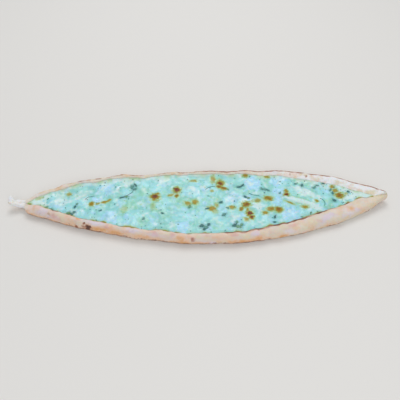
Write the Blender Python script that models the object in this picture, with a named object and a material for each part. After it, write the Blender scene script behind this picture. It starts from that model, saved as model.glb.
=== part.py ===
"""A kasarli pide: a long boat of baked dough whose sides are folded in as rims, with melted cheese in it.

Frame: metres, +Z up, +X along the boat to its closed bow. The near rim is the bellied one at -Y, and the
far rim is the straighter one at +Y. The origin is the middle of the boat's box, on the surface it rests on.
Two solids are built: the crust, which is one piece of dough, and the cheese that lies on its bed.
"""

import bpy
import bmesh
import numpy as np

# Overall sizes
LENGTH = 0.500
WIDTH = 0.115
TIP_Y = 0.008  # both tips lie this far to the +Y side, so the boat bends a little

# Where the boat opens: between the pinched tail at -X and the closed bow at +X
TAIL_WAIST_X = -0.229
BOW_SEAM_X = 0.227
CHEESE_ENDS_X = (-0.216, 0.218)

# Plan of the two sides, each measured from the tip line
NEAR_SIDE = {"peak": 0.015, "depth": WIDTH / 2 + TIP_Y, "reach": (0.274, 0.244), "power": (1.75, 2.05)}
FAR_SIDE = {"peak": 0.060, "depth": WIDTH / 2 - TIP_Y, "reach": (0.298, 0.197), "power": (3.9, 2.6)}
FAR_PINCH = {"x": -0.068, "depth": 0.0025, "half_length": 0.030}  # a slight dent in the far side
TAIL_HALF_WIDTHS = (0.0050, 0.0056)  # near and far
TAIL_FLARE = 0.0006  # the near side widens by this towards the waist, the far side at both of its ends
BOW_HALF_WIDTHS = (0.0035, 0.0080)
BOW_TAPER = {"start": 0.200, "length": 0.045, "depth": 0.004}  # trims the near side of the bow

# Heights above the underside
NEAR_CREST = 0.0155
FAR_CREST = 0.0170
TAIL_HEIGHTS = (0.0072, 0.0084)  # near and far
BOW_HEIGHTS = (0.0115, 0.0145)
RIM_WAVE = 0.0004
BULGE_HEIGHT = 0.0045  # height at which the rim is widest
BED_HEIGHT = 0.0045
CHEESE_HEIGHT = 0.0105
CHEESE_CROWN = 0.0008
CHEESE_RIPPLE = 0.0004
SEAM_DEPTH = 0.0022

# The rim's section. Each fold has a width at the tail, in the middle and at the bow, and changes from one
# to the next between the first two and between the last two x values
UNDERCUT = 0.0060
LIP_RADIUS = 0.0013
NEAR_FOLD = {"widths": (0.0100, 0.0078, 0.0180), "x": (-0.210, -0.140, 0.005, 0.185)}
FAR_FOLD = {"widths": (0.0070, 0.0058, 0.0140), "x": (-0.210, -0.140, 0.010, 0.215)}
SEAM_SHIFT = {"start": 0.190, "length": 0.040, "share": -0.10}  # moves the bow's seam towards the near side
SEAM_GAP = 0.0006
CHEESE_GAP = 0.0003

# The ends curl up off the table
TAIL_LIFT = 0.0090
BOW_LIFT = 0.0050
LIFT_LENGTH = 0.070
LIFT_POWER = 3
END_ROUNDINGS = (0.0050, 0.0090)  # at the tail and the bow
END_SHARE = 0.30  # the end cap's size, as a share of the section there

# Resolution
CHEESE_STATIONS = 48
TAIL_STATIONS = 12
BOW_STATIONS = 12
UNDER_STEPS = 2
SLOPE_STEPS = 5
LIP_STEPS = 3
CHEESE_STRIPS = 9


def smooth_step(value):
    """Nought below 0, one above 1, and 3t^2 - 2t^3 between."""
    t = np.clip(value, 0.0, 1.0)
    return t * t * (3.0 - 2.0 * t)


def side_offset(x, side):
    """Distance of a side from the tip line: depth * (1 - s^power), where s is 0 at the peak and 1 at a tip."""
    to_tail = x < side["peak"]
    share = np.abs(x - side["peak"]) / np.where(to_tail, *side["reach"])
    power = np.where(to_tail, *side["power"])
    return side["depth"] * (1.0 - np.minimum(share, 1.0) ** power)


def plan(x):
    """The near and the far edge of the section at each x, as y values, with the slim tail blended in."""
    pinch = FAR_PINCH["depth"] * np.exp(-(((x - FAR_PINCH["x"]) / FAR_PINCH["half_length"]) ** 2))
    in_tail = 1.0 - smooth_step((x - TAIL_WAIST_X + 0.004) / 0.010)
    along_tail = (x + LENGTH / 2) / (TAIL_WAIST_X + LENGTH / 2)
    along_tail = np.clip(along_tail, 0.0, 1.0)
    flares = (TAIL_FLARE * (2 * along_tail - 1), TAIL_FLARE * np.cos(2 * np.pi * along_tail))
    taper = BOW_TAPER["depth"] * smooth_step((x - BOW_TAPER["start"]) / BOW_TAPER["length"])
    offsets = (side_offset(x, NEAR_SIDE) - taper, side_offset(x, FAR_SIDE) - pinch)
    near, far = (
        np.maximum(offset * (1 - in_tail) + (tail + flare) * in_tail, np.where(x < 0, 0.0, bow))
        for offset, tail, flare, bow in zip(offsets, TAIL_HALF_WIDTHS, flares, BOW_HALF_WIDTHS)
    )
    return TIP_Y - near, TIP_Y + far


def lift(x):
    """How far the underside stands off the table: flat in the middle, curling up towards both ends."""
    past = (np.abs(x) - (LENGTH / 2 - LIFT_LENGTH)) / LIFT_LENGTH
    return np.where(x < 0, TAIL_LIFT, BOW_LIFT) * np.clip(past, 0.0, 1.0) ** LIFT_POWER


def crests(x):
    """Heights of the near and the far rim: level in the middle with a slow wave, lower at both ends."""
    to_tail = smooth_step((TAIL_WAIST_X + 0.022 - x) / 0.026)
    to_bow = smooth_step((x - BOW_SEAM_X + 0.035) / 0.060)
    heights = []
    for level, tail, bow in zip((NEAR_CREST, FAR_CREST), TAIL_HEIGHTS, BOW_HEIGHTS):
        level = level - RIM_WAVE * (1 + np.sin(x * 55))
        heights.append(level + (tail - level) * to_tail + (bow - level) * to_bow)
    return heights


def open_share(x):
    """One where cheese lies in the boat, falling to nought where the rims have closed into a seam."""
    start, end = CHEESE_ENDS_X
    past = np.maximum(start - x, x - end)
    return 1.0 - smooth_step(past / (BOW_SEAM_X - end))


def bed(x):
    """Height of the bed above the underside: flat under the cheese, then rising to the bottom of the seam."""
    return BED_HEIGHT + (min(crests(x)) - SEAM_DEPTH - BED_HEIGHT) * (1.0 - open_share(x))


def folds(x):
    """Width of the near and the far rim up to the lip's nose, where the two may meet but for the seam's gap."""
    near, far = plan(x)
    to_far = SEAM_SHIFT["share"] * smooth_step((x - SEAM_SHIFT["start"]) / SEAM_SHIFT["length"])
    rooms = (far - near - SEAM_GAP) * np.array([0.5 + to_far, 0.5 - to_far])
    widths = []
    for rim, room in zip((NEAR_FOLD, FAR_FOLD), rooms):
        tail, middle, bow = rim["widths"]
        tail_end, middle_start, middle_end, bow_start = rim["x"]
        to_middle = smooth_step((x - tail_end) / (middle_start - tail_end))
        to_bow = smooth_step((x - middle_end) / (bow_start - middle_end))
        fold = tail + (middle - tail) * to_middle + (bow - middle) * to_bow
        widths.append(np.minimum(fold + LIP_RADIUS, room))
    return widths


def rim_profile(fold, height, floor):
    """One rim from its underside, round the bulge and the folded slope, over the lip and down to the bed.

    Quarter ellipses: under the bulge, then up the slope to the crest, then round the lip.
    Returns the distance inwards from the rim's widest point, and the height, of each point.
    """
    under = np.radians(np.linspace(-90, 0, UNDER_STEPS + 1))
    slope = np.radians(np.linspace(0, 90, SLOPE_STEPS + 1))[1:]
    lip = np.radians(np.linspace(0, 90, LIP_STEPS + 1))[1:]
    bulge = min(BULGE_HEIGHT, 0.45 * height)
    undercut = min(UNDERCUT, 0.7 * fold)
    crest_in = fold - LIP_RADIUS
    inwards = np.concatenate([
        undercut * (1 - np.cos(under)),
        crest_in * (1 - np.cos(slope)),
        crest_in + LIP_RADIUS * np.sin(lip),
        [fold],
    ])
    up = np.concatenate([
        bulge * (1 + np.sin(under)),
        bulge + (height - bulge) * np.sin(slope),
        height - LIP_RADIUS * (1 - np.cos(lip)),
        [floor],
    ])
    return inwards, up


def end_scale(x):
    """Rounds both ends off: the section shrinks along a quarter circle over the last few millimetres."""
    rounding = END_ROUNDINGS[0] if x < 0 else END_ROUNDINGS[1]
    into_end = np.clip((np.abs(x) - (LENGTH / 2 - rounding)) / rounding, 0.0, 1.0)
    return END_SHARE + (1.0 - END_SHARE) * np.sqrt(1.0 - into_end**2)


def crust_ring(x):
    """The crust's section at x, a closed ring of points: up the near rim, across the bed and down the far rim."""
    near, far = plan(x)
    near_fold, far_fold = folds(x)
    near_crest, far_crest = crests(x)
    near_in, near_up = rim_profile(near_fold, near_crest, bed(x))
    far_in, far_up = rim_profile(far_fold, far_crest, bed(x))
    y = np.concatenate([near + near_in, (far - far_in)[::-1]])
    z = np.concatenate([near_up, far_up[::-1]])
    centre_y, centre_z, scale = (near + far) / 2, near_crest / 2, end_scale(x)
    y = centre_y + (y - centre_y) * scale
    z = centre_z + (z - centre_z) * scale + lift(x)
    return np.column_stack([np.full(len(y), x), y, z])


def cheese_ring(x):
    """The cheese's section at x: a flat bottom just off the bed, sides just clear of the lips, a soft top.

    The top is a shallow crown, highest midway between the rims, with slow ripples both ways.
    """
    near, far = plan(x)
    near_fold, far_fold = folds(x)
    y = np.linspace(near + near_fold + CHEESE_GAP, far - far_fold - CHEESE_GAP, CHEESE_STRIPS)
    across = (2 * y - near - far) / (far - near)
    ripple = np.sin(x * 70) * np.cos(y * 110 + x * 30)
    top = CHEESE_HEIGHT + CHEESE_CROWN * (1 - across**2) + CHEESE_RIPPLE * ripple
    bottom = np.full(2, bed(x) + CHEESE_GAP)
    ring_y = np.concatenate([y[[-1, 0]], y])
    ring_z = np.concatenate([bottom, top]) + lift(x)
    return np.column_stack([np.full(len(ring_y), x), ring_y, ring_z])


def loft(name, rings, material):
    """A closed solid through rings of equal count: quads from ring to ring, and a filled face at each end."""
    mesh = bmesh.new()
    loops = [[mesh.verts.new(point) for point in ring] for ring in rings]
    for here, there in zip(loops, loops[1:]):
        for k in range(len(here)):
            after = (k + 1) % len(here)
            mesh.faces.new((here[k], here[after], there[after], there[k]))
    mesh.faces.new(loops[0])
    mesh.faces.new(loops[-1][::-1])
    bmesh.ops.recalc_face_normals(mesh, faces=mesh.faces)
    data = bpy.data.meshes.new(name)
    mesh.to_mesh(data)
    mesh.free()
    data.materials.append(material)
    data.shade_smooth()
    solid = bpy.data.objects.new(name, data)
    bpy.context.scene.collection.objects.link(solid)


def baked_material(name, colour, roughness):
    """A plain finish with one linear colour."""
    material = bpy.data.materials.new(name)
    material.use_nodes = True
    shader = material.node_tree.nodes["Principled BSDF"]
    shader.inputs["Base Color"].default_value = (*colour, 1.0)
    shader.inputs["Roughness"].default_value = roughness
    shader.inputs["Metallic"].default_value = 0.0
    return material


def stations():
    """The sections' x values: even along the cheese, and closer together towards each tip."""
    start, end = CHEESE_ENDS_X
    towards_tip = np.sin(np.linspace(0, np.pi / 2, TAIL_STATIONS + 1))[1:]
    tail = start - (start + LENGTH / 2) * towards_tip
    towards_tip = np.sin(np.linspace(0, np.pi / 2, BOW_STATIONS + 1))[1:]
    bow = end + (LENGTH / 2 - end) * towards_tip
    return tail[::-1], np.linspace(start, end, CHEESE_STATIONS), bow


def build():
    for old in list(bpy.data.objects):
        bpy.data.objects.remove(old, do_unlink=True)
    tail, middle, bow = stations()
    dough = baked_material("baked_dough", (0.62, 0.47, 0.36), 0.75)
    melt = baked_material("melted_cheese", (0.38, 0.72, 0.70), 0.40)
    loft("crust", [crust_ring(x) for x in np.concatenate([tail, middle, bow])], dough)
    loft("cheese", [cheese_ring(x) for x in middle], melt)


build()
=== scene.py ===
"""The looks of a kasarli pide: a boat of baked dough, melted cheese in it, browned spots and green herbs.

All places are in the row frame, in metres. The near rim is at -Y and the far rim at +Y. The tail is the
pinched tip at -X, and the bow the blunt closed tip at +X. Every surface is a grid of points worked out
with numpy, and its colours come from masks kept on its points and from procedural noise.
"""

import bpy
import numpy as np
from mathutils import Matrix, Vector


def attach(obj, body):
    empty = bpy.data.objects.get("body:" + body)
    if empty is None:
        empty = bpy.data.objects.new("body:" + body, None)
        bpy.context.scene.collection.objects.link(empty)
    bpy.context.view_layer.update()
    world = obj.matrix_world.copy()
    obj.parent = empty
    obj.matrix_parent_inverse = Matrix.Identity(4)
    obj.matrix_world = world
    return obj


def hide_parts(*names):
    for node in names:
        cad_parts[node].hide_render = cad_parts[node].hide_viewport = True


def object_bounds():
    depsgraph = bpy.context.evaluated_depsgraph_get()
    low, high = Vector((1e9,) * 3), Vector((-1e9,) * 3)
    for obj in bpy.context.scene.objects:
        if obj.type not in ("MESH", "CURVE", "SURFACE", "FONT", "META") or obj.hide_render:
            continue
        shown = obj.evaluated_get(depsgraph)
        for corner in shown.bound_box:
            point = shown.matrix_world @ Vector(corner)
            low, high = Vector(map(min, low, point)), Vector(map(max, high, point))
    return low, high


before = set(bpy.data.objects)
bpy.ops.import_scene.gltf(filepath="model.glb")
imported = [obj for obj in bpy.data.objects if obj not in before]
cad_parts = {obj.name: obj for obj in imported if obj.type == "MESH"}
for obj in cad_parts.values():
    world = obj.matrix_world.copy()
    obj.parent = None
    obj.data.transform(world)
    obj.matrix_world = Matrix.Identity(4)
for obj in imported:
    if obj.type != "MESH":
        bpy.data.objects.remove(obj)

cad_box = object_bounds()
LOW, HIGH = (np.array(corner) for corner in cad_box)
LENGTH, WIDTH = (HIGH - LOW)[:2]
HALF = LENGTH / 2
MM = 0.001

# ---------------------------------------------------------------------------------------------------------
# Shape of the boat, as the solids have it
# ---------------------------------------------------------------------------------------------------------

TIP_Y = 8.0 * MM
TONGUE_END_X = -236 * MM
TAIL_WAIST_X = -229 * MM
BOW_SEAM_X = 227 * MM
NEAR_SIDE = {
    "peak": 15 * MM, "depth": WIDTH / 2 + TIP_Y, "reach": (274 * MM, 244 * MM), "power": (1.75, 2.05),
}
FAR_SIDE = {
    "peak": 60 * MM, "depth": WIDTH / 2 - TIP_Y, "reach": (298 * MM, 197 * MM), "power": (3.9, 2.6),
}
FAR_PINCH = {"x": -68 * MM, "depth": 2.5 * MM, "half_length": 30 * MM}
TAIL_HALF_WIDTHS = (5.0 * MM, 5.6 * MM)
TAIL_FLARE = 0.6 * MM
BOW_HALF_WIDTHS = (3.5 * MM, 8.0 * MM)
BOW_TAPER = {"start": 200 * MM, "length": 45 * MM, "depth": 4 * MM}

NEAR_CREST = 15.5 * MM
FAR_CREST = 17.0 * MM
TAIL_HEIGHTS = (7.2 * MM, 8.4 * MM)
BOW_HEIGHTS = (11.5 * MM, 14.5 * MM)
BULGE_HEIGHT = 4.5 * MM
BED_HEIGHT = 4.5 * MM
CHEESE_LEVEL = 10.6 * MM
SEAM_DEPTH = 1.8 * MM

UNDERCUT = 6.0 * MM
LIP_RADIUS = 1.3 * MM
TAIL_LIP_RADIUS = 0.35 * MM
NEAR_FOLD = {"widths": (10.0 * MM, 7.8 * MM, 18.0 * MM), "x": (-210 * MM, -140 * MM, 5 * MM, 185 * MM)}
FAR_FOLD = {"widths": (7.0 * MM, 5.8 * MM, 14.0 * MM), "x": (-210 * MM, -140 * MM, 10 * MM, 215 * MM)}
FAR_CREST_IN = 3.6 * MM
SEAM_GAP = 0.3 * MM
SEAM_SHIFT = {"start": 190 * MM, "length": 40 * MM, "share": -0.10}

TAIL_LIFT = 9.0 * MM
BOW_LIFT = 5.0 * MM
LIFT_LENGTH = 70 * MM
LIFT_POWER = 3
END_ROUNDINGS = (4.0 * MM, 8.0 * MM)


def smooth_step(value):
    """Nought below 0, one above 1, and 3t^2 - 2t^3 between."""
    t = np.clip(value, 0.0, 1.0)
    return t * t * (3.0 - 2.0 * t)


def fade(value, full, none):
    """One at `full`, nought at `none`, and a smooth step between them."""
    return smooth_step((none - value) / (none - full))


def waves(points, size, seed, count=20):
    """Smooth random relief with a spread of 1: sine waves about `size` long, summed, in random directions."""
    chance = np.random.default_rng(seed)
    points = np.asarray(points, float)
    ways = chance.normal(size=(count, points.shape[-1]))
    ways /= np.linalg.norm(ways, axis=1, keepdims=True)
    ways *= 2 * np.pi / (size * chance.uniform(0.75, 1.4, count))[:, None]
    return np.sin(points @ ways.T + chance.uniform(0, 2 * np.pi, count)).sum(-1) / np.sqrt(count / 2)


def wander(x, size, seed):
    """The same relief along a line only."""
    return waves(np.asarray(x)[..., None], size, seed, 9)


def side_offset(x, side):
    """Distance of a side from the tip line: depth * (1 - s^power), with s 0 at the peak and 1 at a tip."""
    to_tail = x < side["peak"]
    share = np.abs(x - side["peak"]) / np.where(to_tail, *side["reach"])
    return side["depth"] * (1 - np.minimum(share, 1) ** np.where(to_tail, *side["power"]))


def plan(x):
    """The near and the far edge at each x, with the slim tail blended in and a slight hand-made waver."""
    pinch = FAR_PINCH["depth"] * np.exp(-(((x - FAR_PINCH["x"]) / FAR_PINCH["half_length"]) ** 2))
    in_tail = 1 - smooth_step((x - TAIL_WAIST_X + 4 * MM) / (10 * MM))
    along_tail = np.clip((x + HALF) / (TAIL_WAIST_X + HALF), 0, 1)
    flares = (TAIL_FLARE * (2 * along_tail - 1), TAIL_FLARE * np.cos(2 * np.pi * along_tail))
    waver = fade(np.abs(x), 190 * MM, 235 * MM)
    taper = BOW_TAPER["depth"] * smooth_step((x - BOW_TAPER["start"]) / BOW_TAPER["length"])
    near_waver = 0.5 * MM * wander(x, 60 * MM, 1) + 0.15 * MM * wander(x, 17 * MM, 2)
    far_waver = 0.5 * MM * wander(x, 50 * MM, 3) - 0.8 * MM
    offsets = (
        side_offset(x, NEAR_SIDE) - taper + waver * near_waver,
        side_offset(x, FAR_SIDE) - pinch + waver * far_waver,
    )
    near, far = (
        np.maximum(offset * (1 - in_tail) + (tail + flare) * in_tail, np.where(x < 0, 0, bow))
        for offset, tail, flare, bow in zip(offsets, TAIL_HALF_WIDTHS, flares, BOW_HALF_WIDTHS)
    )
    return TIP_Y - near, TIP_Y + far


def lift(x):
    """How far the underside stands off the table: flat in the middle, curling up towards both ends."""
    past = (np.abs(x) - (HALF - LIFT_LENGTH)) / LIFT_LENGTH
    return np.where(x < 0, TAIL_LIFT, BOW_LIFT) * np.clip(past, 0, 1) ** LIFT_POWER


def crests(x):
    """Heights of the near and the far rim above the underside, a little uneven, lower at both ends."""
    to_tail = smooth_step((TAIL_WAIST_X + 22 * MM - x) / (26 * MM))
    to_bow = smooth_step((x - BOW_SEAM_X + 35 * MM) / (60 * MM))
    near = NEAR_CREST + 0.4 * MM * wander(x, 70 * MM, 4) + 0.15 * MM * wander(x, 22 * MM, 5)
    far = FAR_CREST - 0.3 * MM + 0.35 * MM * wander(x, 55 * MM, 6) + 0.15 * MM * wander(x, 18 * MM, 7)
    return [
        level + (tail - level) * to_tail + (bow - level) * to_bow
        for level, tail, bow in zip((near, far), TAIL_HEIGHTS, BOW_HEIGHTS)
    ]


def past_tongue(x):
    """Nought on the tail's pressed tongue, then one from the waist on."""
    return smooth_step((x - TONGUE_END_X) / (12 * MM))


def lip_radius(x):
    """Radius of the lip's round nose, small on the tail, where the two lips have run together."""
    return TAIL_LIP_RADIUS + (LIP_RADIUS - TAIL_LIP_RADIUS) * past_tongue(x)


def folds(x):
    """Width of the near and the far rim up to the lip's nose, where the two may meet in a seam."""
    near, far = plan(x)
    to_far = SEAM_SHIFT["share"] * smooth_step((x - SEAM_SHIFT["start"]) / SEAM_SHIFT["length"])
    room = far - near - SEAM_GAP
    rooms = (room * (0.5 + to_far), room * (0.5 - to_far))
    ragged = (
        0.4 * MM * wander(x, 34 * MM, 8)
        + 0.12 * MM * wander(x, 11 * MM, 9)
        + 0.06 * MM * wander(x, 5 * MM, 10),
        0.4 * MM * wander(x, 34 * MM, 11) + 0.12 * MM * wander(x, 12 * MM, 12),
    )
    widths = []
    for rim, rag, room in zip((NEAR_FOLD, FAR_FOLD), ragged, rooms):
        tail, middle, bow = rim["widths"]
        tail_end, middle_start, middle_end, bow_start = rim["x"]
        to_middle = smooth_step((x - tail_end) / (middle_start - tail_end))
        to_bow = smooth_step((x - middle_end) / (bow_start - middle_end))
        fold = tail + (middle - tail) * to_middle + (bow - middle) * to_bow + rag
        widths.append(np.minimum(fold + lip_radius(x), room))
    return widths


def falls(x):
    """How far each rim drops from its crest to the lip: little on the near rim, more on the far one."""
    fold = folds(x)[1]
    on_tail = fade(x, TONGUE_END_X, -222 * MM)
    return 0.7 * MM + 0 * x, 1.1 * MM + 0.28 * np.maximum(fold - 7.0 * MM, 0) + 0.2 * MM * on_tail


def open_share(x):
    """One where the boat is open, falling to nought where the lips have closed into a seam."""
    near, far = plan(x)
    near_fold, far_fold = folds(x)
    return smooth_step((far - near - near_fold - far_fold - 1.0 * MM) / (4.0 * MM))


def bed(x):
    """Height of the bed above the underside, rising to the bottom of the seam where the boat is shut."""
    seam = SEAM_DEPTH - 1.0 * MM * fade(x, -240 * MM, -226 * MM)
    return BED_HEIGHT + (np.minimum(*crests(x)) - seam - BED_HEIGHT) * (1 - open_share(x))


# ---------------------------------------------------------------------------------------------------------
# Meshes
# ---------------------------------------------------------------------------------------------------------


def make_mesh(name, points, faces, material, masks=None):
    """An object from points (n, 3) and a list of face arrays (count, corners), with masks on its points."""
    points = np.asarray(points, np.float32).reshape(-1, 3)
    sizes = np.concatenate([np.full(len(some), some.shape[1]) for some in faces])
    corners = np.concatenate([some.ravel() for some in faces]).astype(np.int32)
    mesh = bpy.data.meshes.new(name)
    mesh.vertices.add(len(points))
    mesh.vertices.foreach_set("co", points.ravel())
    mesh.loops.add(len(corners))
    mesh.loops.foreach_set("vertex_index", corners)
    mesh.polygons.add(len(sizes))
    mesh.polygons.foreach_set("loop_start", (np.cumsum(sizes) - sizes).astype(np.int32))
    mesh.update(calc_edges=True)
    mesh.validate()
    for mask, values in (masks or {}).items():
        layer = mesh.attributes.new(mask, "FLOAT", "POINT")
        layer.data.foreach_set("value", np.asarray(values, np.float32).ravel())
    mesh.materials.append(material)
    mesh.shade_smooth()
    piece = bpy.data.objects.new(name, mesh)
    bpy.context.scene.collection.objects.link(piece)
    return piece


def tube_faces(rings, around):
    """Quads between closed rings of points, with a fan of triangles to a pole at each end."""
    ring = np.arange(rings - 1)[:, None] * around
    here = np.arange(around)[None]
    after = (here + 1) % around
    next_ring = ring + around
    quads = np.stack([ring + here, next_ring + here, next_ring + after, ring + after], -1).reshape(-1, 4)
    first, last = rings * around, rings * around + 1
    here, after = here[0], after[0]
    end = (rings - 1) * around
    start_fan = np.stack([np.full(around, first), here, after], -1)
    end_fan = np.stack([np.full(around, last), end + after, end + here], -1)
    return [quads, start_fan, end_fan]


def tube_normals(grid):
    """Outward normals of a grid of rings: the cross product of the ways along it and around it."""
    along = np.gradient(grid, axis=0)
    around = np.roll(grid, -1, 1) - np.roll(grid, 1, 1)
    normals = np.cross(along, around)
    return normals / np.maximum(np.linalg.norm(normals, axis=-1, keepdims=True), 1e-12)


def domes(points, centres, radii, heights, sharpness=2.0):
    """Sum of round bumps: height * exp(-(distance / radius)^sharpness) around each centre."""
    total = np.zeros(points.shape[:-1])
    for centre, radius, height in zip(centres, radii, heights):
        gap = np.linalg.norm(points - centre, axis=-1) / radius
        total += height * np.exp(-(gap**sharpness))
    return total


# ---------------------------------------------------------------------------------------------------------
# The crust
# ---------------------------------------------------------------------------------------------------------

CRUST_STEP = 0.78 * MM
CAP_STEPS = 9
DOUGH_BLISTERS = 230


def crust_stations():
    """x of each ring, in even steps and quarter-circle steps at the rounded ends, and the end scale there."""
    turn = np.linspace(0, np.pi / 2, CAP_STEPS + 1)[1:-1]
    tail_round, bow_round = END_ROUNDINGS
    start, end = -HALF + tail_round, HALF - bow_round
    middle = np.linspace(start, end, int((end - start) / CRUST_STEP))
    x = np.concatenate([
        (start - tail_round * np.sin(turn))[::-1],
        middle,
        end + bow_round * np.sin(turn),
    ])
    scale = np.concatenate([np.cos(turn)[::-1], np.ones(len(middle)), np.cos(turn)])
    return x, scale


def rim_path(fold, height, fall, crest_in, radius, floor, half, tuck):
    """One rim's section as inward distance, height and place round the rim, for every station at once.

    From the middle of the underside outwards, a quarter ellipse under the bulge, a quarter ellipse up to the
    crest, a fall that steepens towards the lip, a round lip that tucks under, then down the wall and in over
    the bed. The place runs 0 to 1 below the bulge, 1 to 1.6 up to the crest, on to 2 at the lip's start, to 3
    round the lip, then on to 4.
    """
    given = (fold, height, fall, crest_in, radius, floor, half, tuck)
    fold, height, fall, crest_in, radius, floor, half, tuck = (np.asarray(value)[:, None] for value in given)
    bulge = np.minimum(BULGE_HEIGHT, 0.45 * height)
    undercut = np.minimum(UNDERCUT, 0.7 * fold)
    lip_start = fold - radius
    flat = np.linspace(0, 1, 8)[None, :-1] ** 0.6
    under = np.radians(np.linspace(-90, 0, 9))[None, :-1]
    climb = np.linspace(0, 1, 17)[None, :-1]
    inside = np.linspace(0, 1, 11)[None, :-1]
    lip = np.linspace(0, 1, 12)[None]
    wall = np.linspace(0, 1, 5)[None, 1:]
    inner = np.linspace(0, 1, 6)[None, 1:]

    climb_turn = climb * np.pi / 2
    lip_width = np.maximum(lip_start - crest_in, 0.2 * MM)
    slant = np.arctan(1.6 * fall / lip_width)
    lip_turn = slant + (tuck - slant) * lip
    lip_in = lip_start + radius * (np.sin(lip_turn) - np.sin(slant))
    lip_up = height - fall - radius * (np.cos(slant) - np.cos(lip_turn))
    wall_in = lip_in[:, -1:]
    wall_up = lip_up[:, -1:]
    parts = (
        (half - (half - undercut) * flat, 0 * flat, 0 * flat),
        (undercut * (1 - np.cos(under)), bulge * (1 + np.sin(under)), 1 + under / (np.pi / 2)),
        (crest_in * (1 - np.cos(climb_turn)), bulge + (height - bulge) * np.sin(climb_turn), 1 + 0.6 * climb),
        (crest_in + lip_width * inside, height - fall * inside**1.6, 1.6 + 0.4 * inside),
        (lip_in, lip_up, 2 + lip),
        (wall_in + 0 * wall, wall_up + (floor - wall_up) * wall, 3 + wall / 2),
        (wall_in + (half - wall_in) * inner, floor + 0 * inner, 3.5 + inner / 2),
    )
    rows = len(fold)
    return (
        np.concatenate([np.broadcast_to(part[k], (rows, part[k].shape[1])) for part in parts], 1)
        for k in range(3)
    )


SCORCHES = (
    # x, y, radius in mm and strength of the dark marks on the rims; most are low on the near side
    (-193, -14, 3.0, 0.45), (-206, -11, 3.0, 0.3), (-142, -34, 4.5, 1.0), (-137, -37, 3.5, 0.9),
    (-147, -31, 3.0, 0.5), (-166, -27, 2.0, 0.4), (-157, -30, 2.5, 0.5), (-11, -54, 2.6, 0.35),
    (-83, -42, 2.2, 0.6), (34, -50, 3.0, 0.25), (66, -41, 4.0, 0.5), (72, -44, 3.5, 0.45),
    (63, -38, 2.5, 0.5), (77, -40, 2.5, 0.35), (-9, 45, 3.0, 0.5), (64, 47, 3.6, 0.8), (79, 46, 2.0, 0.5),
    (93, 44, 2.6, 0.5), (125, 47, 2.0, 0.5), (146, 43, 2.8, 0.8), (-121, 41, 2.4, 1.0),
    (-214, 13, 2.5, 0.5), (236, 18, 4.0, 0.4), (-248, 17, 1.6, 0.5),
)
RIM_PATCHES = (
    # x in mm, height up the near rim from 0 to 1, half length in mm, half height, kind and strength
    (-200, 0.6, 9, 0.5, "lilac", 1.0), (-185, 0.4, 7, 0.4, "pink", 0.6), (-174, 0.6, 5, 0.4, "cream", 0.8),
    (-166, 0.1, 3, 0.2, "rust", 0.5), (-163, 0.5, 6, 0.3, "toast", 0.5), (-157, 0.15, 3, 0.25, "rust", 0.7),
    (-154, 1.0, 4, 0.2, "toast", 1.0), (-144, 0.75, 8, 0.3, "cream", 0.8),
    (-141, 0.15, 5, 0.3, "rust", 1.0), (-128, 0.25, 10, 0.25, "toast", 0.75),
    (-129, 0.8, 9, 0.25, "lilac", 1.0), (-113, 0.5, 6, 0.4, "pink", 1.0),
    (-104, 0.25, 15, 0.3, "toast", 0.7), (-97, 0.6, 9, 0.3, "pink", 0.4), (-81, 0.8, 12, 0.3, "lilac", 0.7),
    (-72, 0.25, 16, 0.25, "toast", 0.55), (-68, 0.35, 4, 0.25, "rust", 0.3),
    (-55, 0.6, 4, 0.3, "pink", 0.8), (-44, 0.6, 7, 0.3, "cream", 0.8), (-45, 0.2, 8, 0.2, "pink", 0.6),
    (-33, 0.75, 4, 0.3, "pink", 0.6), (-26, 0.5, 7, 0.3, "toast", 0.65), (-20, 0.1, 8, 0.2, "toast", 0.5),
    (-9, 0.35, 4, 0.3, "rust", 1.0), (-2, 0.5, 4, 0.4, "cream", 0.7), (13, 0.92, 14, 0.15, "rust", 0.4),
    (7, 0.6, 4, 0.25, "cream", 0.7), (13, 0.05, 13, 0.2, "lilac", 1.0), (17, 0.5, 9, 0.25, "toast", 0.3),
    (32, 0.65, 6, 0.3, "rust", 0.4), (41, 0.8, 6, 0.25, "pink", 0.5), (55, 0.6, 7, 0.3, "cream", 0.9),
    (50, 0.15, 20, 0.2, "toast", 0.7), (68, 0.75, 7, 0.3, "lilac", 0.8), (72, 0.3, 7, 0.3, "toast", 0.7),
    (85, 0.5, 5, 0.4, "pink", 0.4), (103, 0.12, 7, 0.16, "toast", 0.7), (118, 0.85, 10, 0.2, "pink", 0.4),
    (98, 0.6, 9, 0.3, "cream", 0.5), (127, 0.5, 8, 0.3, "cream", 0.6), (140, 0.35, 7, 0.2, "toast", 0.4),
    (161, 0.7, 9, 0.35, "lilac", 0.9), (163, 0.1, 7, 0.14, "toast", 0.5), (182, 0.5, 8, 0.3, "cream", 0.5),
    (190, 0.6, 11, 0.4, "lilac", 0.9), (212, 0.3, 8, 0.2, "toast", 0.3),
)


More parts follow.
